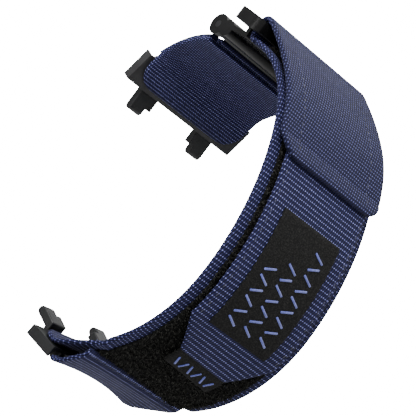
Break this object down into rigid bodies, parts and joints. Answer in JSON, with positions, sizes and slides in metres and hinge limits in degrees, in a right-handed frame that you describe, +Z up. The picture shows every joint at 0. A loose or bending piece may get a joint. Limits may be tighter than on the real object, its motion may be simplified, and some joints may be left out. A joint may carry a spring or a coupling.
{
  "type": "fitness tracker band",
  "caption": "Woven wrist band for a fitness tracker: long strap with hook-and-loop tongue, ring and quick-release hook, short strap and snap-in end connectors.",
  "frame": {"origin": "on the ground under the middle of the bounding box, the band standing on its long edge", "axes": "+X from the lower connector towards the short strap, +Y from the back of the wrist loop towards the tracker gap, +Z up across the strap's width"},
  "size_m": [0.06, 0.0426, 0.0304],
  "materials": {
    "webbing": "woven, navy and lavender threads",
    "pile": "fuzzy loop pile",
    "tape": "hook tape",
    "thread": "sewing thread",
    "label": "matt, fine grain",
    "marks": "light blue embroidery",
    "gloss_black": "gloss",
    "dark_grey": "satin",
    "plate": "satin grey",
    "steel": "plain"
  },
  "bodies": {
    "band": {"band_webbing": "webbing", "band_loop_pile": "pile", "lower_fold_patch": "webbing", "lower_strap_eye": "webbing", "patch_stitching": "thread", "ring_fold": "webbing"},
    "flap": {"flap_webbing": "webbing", "flap_hook_patch": "tape", "flap_stitching": "thread", "tongue_root": "webbing"},
    "tongue": {"tongue_webbing": "webbing", "tongue_hook_tape": "tape", "tongue_stitching": "thread", "label_patch": "label", "label_marks": "marks"},
    "pull_tab": {"pull_tab": "label", "pull_tab_marks": "marks"},
    "ring": {"loop_ring": "gloss_black"},
    "hook": {"hook_plate": "gloss_black", "hook_pin": "steel"},
    "short_strap": {"short_strap_cover": "webbing", "short_strap_lining": "webbing", "short_strap_stitching": "thread"},
    "upper_connector": {"upper_plate": "plate", "upper_clip": "dark_grey", "upper_pin": "steel", "upper_cover_tab": "webbing"},
    "lower_connector": {"lower_plate": "plate", "lower_clip": "dark_grey", "lower_pin": "steel", "lower_cover_tab": "webbing"}
  },
  "joints": [
    {"name": "ring_tilt", "type": "hinge", "parent": "band", "child": "ring", "pos_m": [0.02577, -0.00928, 0.0134], "axis": [0, 0, 1], "range_deg": [-3, 6]},
    {"name": "hook_swing", "type": "hinge", "parent": "ring", "child": "hook", "pos_m": [0.02892, -0.00453, 0.0134], "axis": [0, 0, 1], "range_deg": [-6, 8]},
    {"name": "short_strap_swing", "type": "hinge", "parent": "hook", "child": "short_strap", "pos_m": [0.02816, 0.00068, 0.0134], "axis": [0, 0, 1], "range_deg": [-12, 12]},
    {"name": "upper_connector_swing", "type": "hinge", "parent": "short_strap", "child": "upper_connector", "pos_m": [0.02454, 0.01443, 0.0134], "axis": [0, 0, 1], "range_deg": [-20, 6]},
    {"name": "lower_connector_swing", "type": "hinge", "parent": "band", "child": "lower_connector", "pos_m": [-0.02634, 0.01427, 0.01701], "axis": [-0.2344, -0.2503, 0.9394], "range_deg": [-6, 15]},
    {"name": "flap_peel", "type": "hinge", "parent": "band", "child": "flap", "pos_m": [0.02618, -0.01104, 0.0134], "axis": [0, 0, 1], "range_deg": [0, 45]},
    {"name": "tongue_peel", "type": "hinge", "parent": "flap", "child": "tongue", "pos_m": [0.00296, -0.02037, 0.0134], "axis": [0, 0, 1], "range_deg": [0, 50]},
    {"name": "pull_tab_lift", "type": "hinge", "parent": "tongue", "child": "pull_tab", "pos_m": [-0.02551, -0.00579, 0.0134], "axis": [0, 0, 1], "range_deg": [0, 60]}
  ]
}
